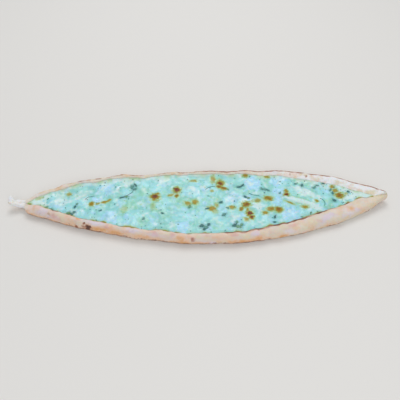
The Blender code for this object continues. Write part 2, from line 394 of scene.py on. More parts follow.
def crust_piece(material):
    """The dough: rings of both rims, the bed and the underside, then bumps, blisters, bake marks and some
    painted shade.
    """
    x, scale = crust_stations()
    near, far = plan(x)
    near_fold, far_fold = folds(x)
    near_crest, far_crest = crests(x)
    near_fall, far_fall = falls(x)
    floor, half = bed(x), (far - near) / 2
    radius = lip_radius(x)
    near_crest_in = 0.8 * (near_fold - radius)
    far_crest_in = np.minimum(FAR_CREST_IN, 0.6 * far_fold)
    tuck = np.radians(90 + 35 * past_tongue(x))
    shared = (radius, floor, half, tuck)
    near_in, near_up, place = rim_path(near_fold, near_crest, near_fall, near_crest_in, *shared)
    far_in, far_up, _ = rim_path(far_fold, far_crest, far_fall, far_crest_in, *shared)
    y = np.concatenate([near[:, None] + near_in, (far[:, None] - far_in)[:, -2::-1]], 1)
    z = np.concatenate([near_up, far_up[:, -2::-1]], 1)
    place = np.concatenate([place, place[:, -2::-1]], 1)
    is_near = np.concatenate([np.ones_like(near_in), np.zeros_like(far_in[:, 1:])], 1)
    y, z, place, is_near = (grid[:, :-1] for grid in (y, z, place, is_near))

    z = press_tail(x[:, None], y, z, place)
    middle_y, middle_z = (near + far)[:, None] / 2, near_crest[:, None] * 0.45
    y = middle_y + (y - middle_y) * scale[:, None]
    z = middle_z + (z - middle_z) * scale[:, None] + lift(x)[:, None]
    grid = np.stack([np.broadcast_to(x[:, None], y.shape), y, z], -1)

    shown = smooth_step((place - 0.4) / 0.6) * fade(place, 3.0, 3.4)
    swell = 0.25 * MM * waves(grid, 24 * MM, 21) + 0.10 * MM * waves(grid, 9 * MM, 22)
    swell += 0.035 * MM * waves(grid, 3.6 * MM, 23, 30)
    chance = np.random.default_rng(24)
    rows = chance.integers(20, len(x) - 20, DOUGH_BLISTERS)
    columns = chance.choice(np.flatnonzero((place[0] > 0.9) & (place[0] < 2.0)), DOUGH_BLISTERS)
    blister_size = chance.uniform(1.0, 3.6, DOUGH_BLISTERS) * MM
    blister_height = blister_size * chance.uniform(0.02, 0.12, DOUGH_BLISTERS)
    swell += domes(grid, grid[rows, columns], blister_size, blister_height, 2.6)
    grid = grid + tube_normals(grid) * (swell * shown)[..., None]
    grid = curl_tail(grid)
    grid[..., 2] = np.maximum(grid[..., 2], 0.0)

    poles = np.array([
        [-HALF, grid[0, :, 1].mean(), grid[0, :, 2].mean()],
        [HALF, grid[-1, :, 1].mean(), grid[-1, :, 2].mean()],
    ])
    masks = bake_marks(grid, place, is_near)
    points = np.concatenate([grid.reshape(-1, 3), poles])
    masks = {name: np.append(mask.ravel(), [mask[0].mean(), mask[-1].mean()]) for name, mask in masks.items()}
    return make_mesh("crust_dough", points, tube_faces(*grid.shape[:2]), material, masks)


def press_tail(x, y, z, place):
    """Presses both rims of the tail into one tongue with a shallow dish across its top."""
    pressed = fade(x, -235 * MM, -225 * MM) * smooth_step((place - 1.2) / 0.35)
    across = np.clip((y - TIP_Y - 0.3 * MM) / (5.5 * MM), -1, 1)
    dish = 6.2 * MM + 1.3 * MM * across**2 + 0.6 * MM * across
    return z + (dish - z) * pressed


def curl_tail(grid):
    """Curls up the far corner of the tail's tongue, and leaves a notch behind it."""
    x, y = grid[..., 0], grid[..., 1]
    end = fade(x + HALF, 3.5 * MM, 8.0 * MM)
    far_corner = smooth_step((y - TIP_Y + 1 * MM) / (6.5 * MM))
    notch = np.exp(-(((x + HALF - 8.0 * MM) / (2.2 * MM)) ** 2)) * far_corner
    grid = grid.copy()
    grid[..., 2] += 2.2 * MM * end * far_corner - 1.2 * MM * notch
    grid[..., 1] += 1.0 * MM * end * far_corner - 1.6 * MM * notch
    return grid


def bake_marks(grid, place, is_near):
    """The oven's marks and some painted shade, each 0 to 1, on every point of the dough.

    Warm is the ruddier share of the boat. Toast, pink, lilac and cream are its clouds of colour. Lip and
    scorch are dark marks, and scorch also holds a dark line along the near rim's base that is partly
    browning and partly painted contact shadow. Flour is left white, oily is the yellowed far side of the
    tail and is partly painted shade, and underside is the part on the table.
    """
    x, y, z = grid[..., 0], grid[..., 1], grid[..., 2]
    high = z - lift(x)
    stretched = grid * (0.45, 1.0, 1.0)
    patchy = waves(stretched, 20 * MM, 31)
    mottled = waves(stretched, 7 * MM, 32)
    fine = waves(grid, 3.2 * MM, 33, 30)
    to_bow = smooth_step((x - 70 * MM) / (40 * MM))
    off_tail = smooth_step((x - TONGUE_END_X) / (16 * MM))
    on_slope = smooth_step((place - 0.3) / 0.5) * fade(place, 2.2, 2.9)
    warm = np.clip(1 - 0.85 * to_bow + 0.10 * patchy, 0, 1) * off_tail

    low = fade(high + 0.8 * MM * mottled + 1.4 * MM * patchy, 4.0 * MM, 13.0 * MM)
    toast = 0.10 + 0.12 * patchy + 0.08 * mottled + low * (0.34 + 0.12 * mottled)
    upper_back = fade(crests(x)[1] - high, 0, 7 * MM) * fade(place, 1.4, 1.6)
    back_toast = 0.10 + 0.14 * patchy + 0.3 * low + 0.5 * upper_back
    toast = toast * is_near + back_toast * (1 - is_near)
    clouds = {
        "toast": toast,
        "pink": 0.12 + 0.14 * waves(stretched, 9 * MM, 38),
        "lilac": 0.12 + 0.16 * waves(stretched, 11 * MM, 39),
        "cream": 0.15 + 0.15 * waves(stretched, 10 * MM, 40),
        "rust": np.zeros_like(x),
    }
    up_rim = (place - 1) / 0.6
    waver = 0.16 * mottled + 0.10 * fine
    for px, up, half_length, half_height, kind, strength in RIM_PATCHES:
        gap = np.hypot((x - px * MM) / (half_length * MM), (up_rim - up) / half_height)
        clouds[kind] = clouds[kind] + 0.8 * strength * fade(gap + waver, 0.1, 1.45) * is_near
    rust = clouds.pop("rust")
    clouds = {name: np.clip(cloud, 0, 1) * on_slope * off_tail for name, cloud in clouds.items()}

    strong = smooth_step((x - 10 * MM) / (40 * MM)) * fade(x, 130 * MM, 175 * MM)
    near, far = plan(x)
    lip_gap = near + folds(x)[0] - y
    lip_width = (2.0 + 2.1 * strong + 0.45 * wander(x, 13 * MM, 37)) * MM
    lip = fade(lip_gap, 0.7 * lip_width, 1.45 * lip_width) * is_near
    lip *= fade(place, 2.6, 3.0) * smooth_step(place - 1)
    lip_patches = 0.58 + 0.24 * strong + 0.18 * wander(x, 26 * MM, 34) + 0.14 * mottled
    lip *= np.clip(lip_patches, 0.2, 1)
    lip *= smooth_step((x + 222 * MM) / (25 * MM)) * fade(x, 215 * MM, 232 * MM)
    below_crest = crests(x)[1] - high
    back = fade(below_crest + 0.7 * MM * mottled, 0.6 * MM, 4.5 * MM) * smooth_step((place - 0.8) / 0.3)
    far_edge = back * fade(far - y, 4.2 * MM, 5.6 * MM) * fade(place, 1.9, 2.1) * (1 - is_near)
    far_edge *= smooth_step((x + 40 * MM) / (60 * MM)) * 0.25 + 0.42 + 0.12 * mottled
    far_edge *= smooth_step((x + 215 * MM) / (40 * MM))
    lip = np.maximum(lip, np.clip(far_edge, 0, 0.72))

    scorch_and_contact_shade = np.zeros_like(x)
    ragged = 0.20 * waves(grid, 5 * MM, 35) + 0.10 * waves(grid, 2 * MM, 36, 30)
    for sx, sy, radius, strength in SCORCHES:
        gap = np.hypot(x - sx * MM, y - sy * MM) / (radius * MM)
        scorch_and_contact_shade += strength * fade(gap + ragged, 0.0, 1.4)
    # Painted contact shadow: a dark line along the near rim's base, partly browning and partly the shade
    # where the rim meets the table.
    line = fade(high + 0.5 * MM * mottled + 0.4 * MM * patchy, 3.6 * MM, 6.4 * MM) * is_near * off_tail
    line *= np.clip(0.90 - 0.35 * to_bow + 0.20 * fine + 0.20 * patchy, 0, 1)
    scorch_and_contact_shade = np.maximum(scorch_and_contact_shade + 0.55 * rust, 0.95 * line)
    scorch_and_contact_shade = np.clip(scorch_and_contact_shade, 0, 1) * on_slope

    tips = 1 - off_tail
    flour = np.clip(0.12 + 0.15 * patchy + 0.12 * mottled, 0, 1) * 0.7 + tips
    to_far_bow = smooth_step((x - 60 * MM) / (90 * MM))
    far_white = (1 - is_near) * smooth_step((place - 1.5) / 0.15) * (0.35 + 0.65 * to_far_bow)
    flour = np.clip(np.maximum(flour, far_white) * (1 - 0.7 * scorch_and_contact_shade), 0, 1)
    far_cream = 0.8 * (1 - is_near) * (1 - to_far_bow) * on_slope * off_tail
    clouds["cream"] = np.maximum(clouds["cream"], far_cream)
    # The tail's far side: a yellowed olive band, partly oil and partly painted shade.
    oily_and_shade = fade(np.abs(x + 235 * MM), 5 * MM, 8 * MM) * smooth_step((y - TIP_Y - 3.4 * MM) / (1.5 * MM))
    return {
        **clouds, "warm": warm, "lip": lip, "scorch_and_contact_shade": scorch_and_contact_shade, "flour": flour, "oily_and_shade": oily_and_shade,
        "underside": fade(place, 0.10, 0.45),
    }


# ---------------------------------------------------------------------------------------------------------
# The cheese
# ---------------------------------------------------------------------------------------------------------

BROWNED = (
    # x, y, length, breadth in mm, turn in degrees, browning and darkness from 0 to 1
    (-211, 13, 9, 4, 20, 0.35, 0.0), (-173, 20, 6, 6, 0, 0.55, 0.1), (-141, 3, 6, 6, 20, 0.8, 0.2),
    (-133, 3, 6, 3, 10, 0.5, 0.0), (-124, 6, 8, 4, 20, 0.7, 0.2), (-119, 9, 5, 4, 30, 0.6, 0.2),
    (-98, -6, 7, 8, 0, 0.35, 0.1), (-59, 13, 10, 11, 30, 1.0, 0.7), (-56, 18, 6, 5, 0, 0.8, 0.4),
    (-61, -3, 5, 8, 0, 0.3, 0.0), (-30, 25, 9, 9, 40, 1.0, 0.8), (-38, 17, 8, 4, 15, 0.6, 0.1),
    (-30, 15, 5, 5, 0, 0.8, 0.3), (-6, 4, 7, 7, 0, 0.7, 0.2), (-15, 1, 8, 5, -20, 0.55, 0.1),
    (19, 43, 6, 10, 0, 0.6, 0.1), (29, 36, 9, 9, 0, 1.0, 0.7), (27, 30, 7, 5, 0, 0.9, 0.4),
    (33, 27, 8, 5, -15, 0.9, 0.4), (17, 23, 4, 4, 0, 0.5, 0.0), (16, -8, 9, 7, -20, 0.85, 0.3),
    (22, -3, 5, 6, 0, 0.5, 0.1), (20, -13, 7, 6, 0, 0.4, 0.0), (42, -6, 8, 5, 0, 0.8, 0.2),
    (61, -2, 10, 8, 10, 1.0, 0.4), (54, -8, 5, 6, 0, 0.8, 0.3), (62, -10, 3, 6, 0, 0.7, 0.3),
    (64, -16, 8, 8, -20, 1.0, 1.0), (66, -22, 6, 7, 0, 0.9, 0.7), (59, -26, 7, 6, 0, 0.45, 0.0),
    (76, 4, 7, 6, 0, 0.5, 0.1), (70, 4, 4, 4, 0, 0.35, 0.0), (91, 8, 10, 8, 0, 1.0, 0.3),
    (84, -16, 7, 6, 20, 0.7, 0.1), (92, -10, 9, 6, 0, 0.8, 0.2), (102, -11, 9, 7, 0, 0.95, 0.4),
    (116, 19, 5, 6, 0, 0.7, 0.4), (116, 14, 7, 5, 0, 0.9, 0.8), (118, 0, 13, 3, -22, 0.55, 0.0),
    (137, -7, 8, 5, -10, 0.7, 0.2), (154, 2, 5, 4, 0, 0.6, 0.2), (180, 26, 7, 6, 60, 0.6, 0.3),
    (182, 19, 7, 8, 0, 0.75, 0.3), (186, 11, 10, 9, 20, 0.95, 0.5), (195, 14, 4, 4, 0, 0.4, 0.1),
    (64, 48, 7, 5, 0, 0.9, 0.4), (93, 45, 7, 4, 0, 0.6, 0.1), (146, 42, 5, 5, 0, 0.8, 0.3),
    (-8, 41, 10, 4, 0, 0.5, 0.1),
)
SPOT_SPREAD = 1.2
FAT_FLECKS = 60
SMUDGES = 90
POOLS = (
    # x, y, radius in mm, then how blue, green and milky the cheese is there
    (-210, 3, 14, 0, 0, 0.8), (-183, 9, 13, 0.3, 0, 0.5), (-164, -15, 8, 0.6, 0, 0.2),
    (-153, 17, 12, 0, 0.1, 0.4), (-122, 30, 15, 0.5, 0, 0.2), (-101, 36, 9, 0.1, 0, 0.7),
    (-113, -20, 11, 1.0, 0, 0.1), (-134, 6, 9, 0.8, 0, 0.2), (-91, 3, 13, 0, 0.7, 0),
    (-100, -10, 8, 0, 0.8, 0), (-79, 22, 13, 0, 0.5, 0), (-72, -27, 10, 0, 0.8, 0),
    (-47, 40, 9, 0.3, 0, 0.6), (-44, -11, 14, 0, 0.5, 0), (-22, -34, 10, 0.8, 0, 0.1),
    (-7, 21, 9, 0.2, 0, 0.5), (8, 25, 8, 0.3, 0, 0.5), (43, 8, 12, 0.4, 0, 0.4), (71, 33, 12, 1.0, 0, 0.2),
    (61, 8, 8, 0.8, 0, 0.3), (106, 39, 11, 0.9, 0, 0.1), (107, 18, 9, 0.8, 0, 0.1),
    (134, 41, 12, 0, 0.8, 0.1), (139, 27, 10, 0, 0.6, 0.3), (115, -19, 13, 1.0, 0, 0.1),
    (103, 1, 8, 0.6, 0, 0.1), (77, -5, 9, 0.3, 0, 0.6), (47, -23, 13, 0.2, 0, 0.3),
    (21, -33, 11, 0, 0.5, 0), (167, -3, 10, 0, 0.6, 0), (178, 24, 8, 0.7, 0, 0.3), (188, 8, 9, 0.3, 0, 0.6),
    (211, 16, 13, 0, 0, 1.0), (150, -7, 9, 0.2, 0, 0.9), (72, -30, 8, 0, 0.3, 0.1),
    (156, 36, 9, 0, 0.7, 0.2), (-62, 6, 14, 0, 0.7, 0), (-30, 8, 13, 0, 0.5, 0), (-5, 2, 13, 0, 0.7, 0),
    (18, 4, 12, 0, 0.5, 0), (196, 12, 13, 0, 0, 0.9), (28, 34, 11, 0, 0.8, 0), (142, 16, 11, 0, 0.5, 0),
)
RIDGE = {"start": (108, 11), "end": (156, -9), "width": 7.0, "height": 1.3, "groove_off": 4.6}
LENS = {"x": 142, "y": 16, "half_length": 19, "half_width": 9, "turn": -32, "height": 0.9}
CHEESE_ACROSS = 132
CHEESE_STEP = 0.74 * MM


def ellipse_gap(x, y, spot_x, spot_y, length, breadth, turn):
    """Distance from an ellipse's centre as a share of its half axes: 1 on the ellipse itself."""
    angle = np.radians(turn)
    dx, dy = x - spot_x * MM, y - spot_y * MM
    along = (dx * np.cos(angle) + dy * np.sin(angle)) / (length / 2 * MM)
    across = (dy * np.cos(angle) - dx * np.sin(angle)) / (breadth / 2 * MM)
    return np.hypot(along, across)


def ridge_share(x, y):
    """A bell across a straight fold in the cheese, and its two grooves, fading at the fold's ends."""
    start, end = (np.array(RIDGE[key]) * MM for key in ("start", "end"))
    way = (end - start) / np.linalg.norm(end - start)
    along = ((x - start[0]) * way[0] + (y - start[1]) * way[1]) / np.linalg.norm(end - start)
    off = (y - start[1]) * way[0] - (x - start[0]) * way[1]
    off = off - 1.5 * MM * np.sin(along * np.pi)
    ends = smooth_step(along / 0.15) * smooth_step((1 - along) / 0.15)
    ridge = np.exp(-((off / (RIDGE["width"] / 2 * MM)) ** 2)) * ends
    groove = np.exp(-(((np.abs(off) - RIDGE["groove_off"] * MM) / (1.2 * MM)) ** 2)) * ends
    return ridge, groove


def lens_gap(x, y):
    """Distance from the middle of the lens-shaped bubble, as a share of its half axes."""
    size = (2 * LENS["half_length"], 2 * LENS["half_width"])
    return ellipse_gap(x, y, LENS["x"], LENS["y"], *size, LENS["turn"])


def cheese_edges(x):
    """Where the cheese meets the two rims, tucked a little under each lip."""
    near, far = plan(x)
    near_fold, far_fold = folds(x)
    return near + near_fold - 1.1 * MM, far - far_fold + 1.1 * MM


def cheese_top(x, y):
    """Height of the cheese: a crown, slow and quick ripples, blisters with sunk middles, lens and fold."""
    near_edge, far_edge = cheese_edges(x)
    across = np.clip((2 * y - near_edge - far_edge) / np.maximum(far_edge - near_edge, 1 * MM), -1, 1)
    flat = np.stack([x, y], -1)
    height = CHEESE_LEVEL + 0.8 * MM * (1 - across**2)
    height += 0.42 * MM * waves(flat, 34 * MM, 41) + 0.34 * MM * waves(flat, 15 * MM, 42)
    height += 0.10 * MM * waves(flat, 7 * MM, 43) + 0.02 * MM * waves(flat, 3.5 * MM, 44, 30)
    for sx, sy, length, breadth, turn, browning, _ in BROWNED:
        gap = ellipse_gap(x, y, sx, sy, length, breadth, turn)
        swollen, sunk = np.exp(-((gap / 1.05) ** 4)), np.exp(-((gap / 0.45) ** 2))
        height += browning * (0.8 * MM * swollen - 0.35 * MM * sunk)
    height += LENS["height"] * MM * np.exp(-(lens_gap(x, y) ** 4))
    ridge, groove = ridge_share(x, y)
    height += RIDGE["height"] * MM * ridge - 0.7 * MM * groove
    near_lip, far_lip = (crest - fall - 1.0 * MM for crest, fall in zip(crests(x), falls(x)))
    near_gap, far_gap = np.maximum(y - near_edge, 0), np.maximum(far_edge - y, 0)
    height += (near_lip - height) * np.exp(-near_gap / (4.2 * MM)) * 0.97
    height += (far_lip - height) * np.exp(-far_gap / (5.0 * MM)) * 0.97
    return height + lift(x)


def rows_near(x, spot_x, reach):
    """The grid rows whose x is within reach of a spot, both in metres."""
    return np.flatnonzero(np.abs(x[:, 0] - spot_x) < reach)


def cheese_marks(x, y):
    """Masks on the cheese: browned, its olive halo and painted shade along the fold's grooves, dark cores,
    herb stains, bluish, greenish, and milky with painted sheen.
    """
    flat = np.stack([x, y], -1)
    ragged = 0.10 * waves(flat, 5.0 * MM, 51) + 0.05 * waves(flat, 2.6 * MM, 52, 30)
    brown, halo_and_groove_shade, dark, stain = (np.zeros_like(x) for _ in range(4))
    for sx, sy, length, breadth, turn, browning, darkness in BROWNED:
        rows = rows_near(x, sx * MM, 30 * MM)
        size = (length * SPOT_SPREAD, breadth * SPOT_SPREAD)
        gap = ellipse_gap(x[rows], y[rows], sx, sy, *size, turn) + ragged[rows]
        brown[rows] = np.maximum(brown[rows], browning * fade(gap, 0.45, 1.15))
        halo_and_groove_shade[rows] = np.maximum(halo_and_groove_shade[rows], browning**0.5 * fade(gap, 0.60, 1.95))
        dark[rows] = np.maximum(dark[rows], darkness * fade(gap, 0.20, 1.0))
    chance = np.random.default_rng(53)
    for _ in range(FAT_FLECKS):
        sx, share, radius, amount = chance.uniform((-205, 0.04, 0.8, 0.1), (208, 0.96, 2.2, 0.45))
        rows = rows_near(x, sx * MM, 8 * MM)
        low, high = (edge / MM for edge in cheese_edges(np.array(sx * MM)))
        sy = low + (high - low) * share
        gap = ellipse_gap(x[rows], y[rows], sx, sy, 2 * radius, 2.2 * radius, 0)
        halo_and_groove_shade[rows] = np.maximum(halo_and_groove_shade[rows], amount * fade(gap + ragged[rows], 0.4, 1.6))
    for _ in range(SMUDGES):
        sx, share, radius, amount = chance.uniform((-208, 0.06, 1.5, 0.08), (205, 0.95, 4.5, 0.30))
        rows = rows_near(x, sx * MM, 16 * MM)
        low, high = (edge / MM for edge in cheese_edges(np.array(sx * MM)))
        sy = low + (high - low) * share
        gap = ellipse_gap(x[rows], y[rows], sx, sy, 2.4 * radius, 1.6 * radius, radius * 60)
        stain[rows] = np.maximum(stain[rows], amount * fade(gap + 2 * ragged[rows], 0.3, 1.7))
    for sx, sy, length, breadth, turn in np.concatenate([np.array(LEAVES), scattered_leaves()]):
        rows = rows_near(x, sx * MM, 12 * MM)
        gap = ellipse_gap(x[rows], y[rows], sx, sy, length * 1.15, breadth * 1.5, turn)
        amount = 0.35 + 0.45 * smooth_step((length - 1.0) / 3.0)
        stain[rows] = np.maximum(stain[rows], amount * fade(gap + 2 * ragged[rows], 0.6, 2.0))

    near_edge, far_edge = cheese_edges(x)
    near_gap, far_gap = np.maximum(y - near_edge - 2.2 * MM, 0), np.maximum(far_edge - y - 1.1 * MM, 0)
    patchy = 0.8 * wander(x, 15 * MM, 54) + 0.8 * wander(x, 43 * MM, 63)
    waver = 0.18 * waves(flat, 10 * MM, 61) + 0.10 * waves(flat, 4.5 * MM, 62)
    spread = np.clip(1.1 + 0.45 * patchy, 0.4, 2.4) * MM
    near_line = np.exp(-near_gap / spread) * np.clip(0.55 + 0.25 * patchy + 0.25 * waver, 0.1, 1)
    near_line *= smooth_step((x + 222 * MM) / (30 * MM))
    brown = np.maximum(brown, 0.75 * near_line)
    halo_and_groove_shade = np.maximum(halo_and_groove_shade, np.exp(-near_gap / (3.2 * MM)) * np.clip(0.40 + 0.35 * patchy, 0, 1))
    halo_and_groove_shade = np.maximum(halo_and_groove_shade, np.exp(-far_gap / (4.0 * MM)) * np.clip(0.28 + 0.22 * patchy, 0, 0.6))
    bluish = 0.18 + 0.16 * waves(flat, 26 * MM, 55) + 0.12 * waves(flat, 9 * MM, 56)
    greenish = 0.18 + 0.16 * waves(flat, 30 * MM, 57) + 0.12 * waves(flat, 8 * MM, 58)
    # Milky patches: the cheese's whiter colour, and painted sheen where small patches stand for glossy
    # glints.
    milky_and_sheen = 0.12 + 0.14 * waves(flat, 20 * MM, 59) + 0.12 * waves(flat, 7 * MM, 60)
    for px, py, radius, blue, green, milk in POOLS:
        rows = rows_near(x, px * MM, 2 * radius * MM)
        share = fade(ellipse_gap(x[rows], y[rows], px, py, 2 * radius, 2 * radius, 0) + waver[rows], 0.3, 1.3)
        bluish[rows] += blue * share
        greenish[rows] += green * share
        milky_and_sheen[rows] += milk * share
    ridge, groove = ridge_share(x, y)
    milky_and_sheen += 0.6 * fade(lens_gap(x, y), 0.4, 1.3) + 0.9 * ridge
    milky_and_sheen += 0.7 * np.exp(-far_gap / (3.0 * MM)) + 0.8 * smooth_step((np.abs(x) - 195 * MM) / (30 * MM))
    # Painted shade: a yellow-green line in the halo's colours along both grooves of the fold.
    halo_and_groove_shade = np.maximum(halo_and_groove_shade, 0.36 * groove)
    marks = {
        "brown": brown, "halo_and_groove_shade": halo_and_groove_shade, "dark": dark, "stain": stain,
        "bluish": bluish, "greenish": greenish, "milky_and_sheen": milky_and_sheen,
    }
    return {name: np.clip(mask, 0, 1) for name, mask in marks.items()}


def cheese_piece(material):
    """The cheese: rings of a soft top between the rims and a hidden underside just above the bed."""
    probe = np.linspace(-HALF, HALF, 4001)
    room = np.subtract(*cheese_edges(probe)[::-1])
    wide = probe[(room > 3.6 * MM) & (np.abs(probe) < 240 * MM)]
    x = np.linspace(wide.min(), wide.max(), int((wide.max() - wide.min()) / CHEESE_STEP))
    near_edge, far_edge = cheese_edges(x)
    share = np.linspace(0, 1, CHEESE_ACROSS)
    y = near_edge[:, None] + (far_edge - near_edge)[:, None] * share
    x_grid = np.broadcast_to(x[:, None], y.shape)
    top = cheese_top(x_grid, y)
    under_share = np.linspace(1, 0, 12)
    under_y = near_edge[:, None] + (far_edge - near_edge)[:, None] * under_share
    bottom = np.broadcast_to((BED_HEIGHT + 0.4 * MM + lift(x))[:, None], under_y.shape)
    under_x = np.broadcast_to(x[:, None], under_y.shape)
    grid = np.concatenate([
        np.stack([under_x, under_y, bottom], -1),
        np.stack([x_grid, y, top], -1),
    ], 1)
    marks = cheese_marks(grid[..., 0], grid[..., 1])
    poles = np.array([grid[0].mean(0), grid[-1].mean(0)])
    points = np.concatenate([grid.reshape(-1, 3), poles])
    marks = {name: np.append(mask.ravel(), [mask[0].mean(), mask[-1].mean()]) for name, mask in marks.items()}
    return make_mesh("cheese_melt", points, tube_faces(*grid.shape[:2]), material, marks)


# ---------------------------------------------------------------------------------------------------------
# Herbs
# ---------------------------------------------------------------------------------------------------------

LEAVES = (
    # x, y, length and breadth in mm, turn in degrees
    (-198, -2, 4, 2.5, 40), (-191, -6, 5, 3, -20), (-168, -12, 5, 3.5, 15), (-164, -14, 5, 3, -35),
    (-161, -11, 4, 3, 60), (-170, -15, 4, 2.5, 80), (-162, -1, 4, 2.5, 70), (-160, 3, 3, 2, 20),
    (-102, 13, 6, 2.5, 15), (-97, 14, 5, 2.5, -10), (-90, 31, 6, 4, 40), (-86, 34, 5, 3, -50),
    (-87, 28, 5, 3, 10), (2, -35, 6, 4, 15), (7, -37, 7, 4, -25), (11, -34, 5, 3, 50), (5, -40, 4, 3, 0),
    (43, -35, 6, 4, 20), (48, -38, 7, 4, -15), (52, -35, 5, 3, 35), (46, -31, 4, 3, 80),
    (28, 2, 5, 2.5, 20), (31, -18, 6, 3, 25), (36, -7, 4, 2, 0), (54, 29, 7, 3, 25), (59, 31, 5, 2.5, 40),
    (61, 12, 5, 3, -30), (65, 9, 4, 2.5, 20), (87, 24, 8, 3, -12), (92, 22, 5, 2, -30), (108, 18, 4, 2, 60),
    (130, -24, 3, 2, 0), (143, -17, 3, 2, 40), (169, 32, 5, 2.5, 10), (176, 21, 5, 2.5, 60),
    (178, 15, 5, 3, 80), (177, 2, 5, 3, -20), (199, 17, 4, 3, 0), (155, 26, 5, 3, 30), (160, 29, 4, 2, -20),
    (-13, -4, 5, 3, 70), (10, -8, 6, 2, 5), (38, 25, 4, 2, -30), (131, 33, 4, 2, 15), (139, 30, 5, 3, 60),
    (-128, -8, 4, 2, 30), (-48, -14, 4, 2, 0), (-72, -22, 4, 2.5, 45), (96, -22, 5, 3, 70),
    (94, -31, 4, 2, 0),
)
STEMS = (
    # points in mm along each thin stem
    ((-105, 11), (-99, 14), (-92, 20), (-88, 27)),
    ((159, 6), (163, 3), (164, -2), (162, -6)),
    ((66, 18), (72, 15), (79, 13)),
    ((-150, 10), (-146, 14), (-139, 16)),
    ((8, 24), (14, 29), (22, 31)),
)
SCATTERED_LEAVES = 190
LEAF_LONG, LEAF_WIDE = 7, 5
STEM_SIDES, STEM_STEPS = 6, 22
STEM_RADIUS = 0.36 * MM


def scattered_leaves():
    """Many small scraps at random, closer together near the two rims than along the middle."""
    chance = np.random.default_rng(61)
    count = SCATTERED_LEAVES
    x = chance.uniform(-208, 208, count) * MM
    near_edge, far_edge = cheese_edges(x)
    share = 0.5 + 0.5 * np.sin(chance.uniform(-np.pi / 2, np.pi / 2, count)) * 0.94
    y = near_edge + (far_edge - near_edge) * share
    size = chance.uniform(0.8, 2.3, count) * chance.uniform(0.6, 1.0, count)
    slim = chance.uniform(0.4, 0.8, count)
    return np.stack([x / MM, y / MM, size, size * slim, chance.uniform(0, 360, count)], -1)


def herb_piece(material):
    """Chopped leaves: each a pointed oval, notched and cupped, with a thin body, laid on the cheese."""
    leaves = np.concatenate([np.array(LEAVES), scattered_leaves()])
    chance = np.random.default_rng(62)
    count = len(leaves)
    along = np.linspace(0, 1, LEAF_LONG)[None, :, None]
    across = np.linspace(-1, 1, LEAF_WIDE)[None, None]
    x, y, length, breadth, turn = (leaves[:, k, None, None] for k in range(5))
    notch = 1 + 0.25 * np.sin(along * 9 + chance.uniform(0, 6, (count, 1, 1)))
    outline = np.sin(np.pi * along.clip(0.04, 0.96)) ** 0.7 * notch
    bend = chance.uniform(-0.25, 0.25, (count, 1, 1)) * np.sin(np.pi * along)
    u = (along - 0.5) * length * MM + 0 * across
    v = (across * outline / 2 + bend) * breadth * MM
    angle = np.radians(turn)
    px = x * MM + u * np.cos(angle) - v * np.sin(angle)
    py = y * MM + u * np.sin(angle) + v * np.cos(angle)
    cup = chance.uniform(-0.1, 0.22, (count, 1, 1)) * across**2 * breadth * MM
    curl = chance.uniform(0, 0.16, (count, 1, 1)) * (2 * along - 1) ** 2 * length * MM
    rise = cheese_top(px, py) + cup.clip(0) + curl
    body = 0.12 * MM * np.sin(np.pi * along.clip(0.06, 0.94)) * (1 - 0.8 * across**2)
    top = np.stack([px, py, rise + body + 0.10 * MM], -1)
    base = np.stack([px, py, rise - body - 0.05 * MM], -1)
    ring = np.concatenate([top, base[:, :, ::-1]], 2)
    faces_one = tube_faces(LEAF_LONG, 2 * LEAF_WIDE)
    ends = np.stack([ring[:, 0].mean(1), ring[:, -1].mean(1)], 1)
    block = np.concatenate([ring.reshape(count, -1, 3), ends], 1)
    offsets = np.arange(count)[:, None, None] * block.shape[1]
    faces = [(some[None] + offsets).reshape(-1, some.shape[1]) for some in faces_one]
    tone = np.repeat(chance.uniform(0, 1, count), block.shape[1])
    return make_mesh("herb_leaves", block.reshape(-1, 3), faces, material, {"tone": tone})


def stem_piece(material):
    """Thin stems: a round profile carried along a smooth path over the cheese."""
    points, faces, start = [], [], 0
    for path in STEMS:
        path = np.array(path, float) * MM
        share = np.linspace(0, 1, len(path))
        smooth = np.linspace(0, 1, STEM_STEPS)
        curve = [np.polyval(np.polyfit(share, path[:, k], min(3, len(path) - 1)), smooth) for k in range(2)]
        centre = np.stack([*curve, cheese_top(*curve) + 0.2 * MM], -1)
        way = np.gradient(centre, axis=0)
        way /= np.linalg.norm(way, axis=1, keepdims=True)
        side = np.cross(way, (0, 0, 1))
        side /= np.linalg.norm(side, axis=1, keepdims=True)
        up = np.cross(side, way)
        turn = np.linspace(0, 2 * np.pi, STEM_SIDES, endpoint=False)[None, :, None]
        radius = STEM_RADIUS * (0.5 + 0.5 * np.sin(np.pi * smooth.clip(0.06, 0.94)))[:, None, None] ** 0.5
        ring = centre[:, None] + radius * (np.cos(turn) * side[:, None] + np.sin(turn) * up[:, None])
        points.append(np.concatenate([ring.reshape(-1, 3), centre[[0, -1]]]))
        faces.append([some + start for some in tube_faces(STEM_STEPS, STEM_SIDES)])
        start += len(points[-1])
    joined = [np.concatenate([group[k] for group in faces]) for k in range(3)]
    tone = np.full(start, 0.4)
    return make_mesh("herb_stems", np.concatenate(points), joined, material, {"tone": tone})


# ---------------------------------------------------------------------------------------------------------
# Materials
# ---------------------------------------------------------------------------------------------------------


def srgb(red, green, blue):
    """A colour given as 0 to 255 on a screen, turned to the linear values that shaders use."""
    share = np.array([red, green, blue]) / 255
    linear = np.where(share <= 0.04045, share / 12.92, ((share + 0.055) / 1.055) ** 2.4)
    return (*(round(float(value), 4) for value in linear), 1.0)


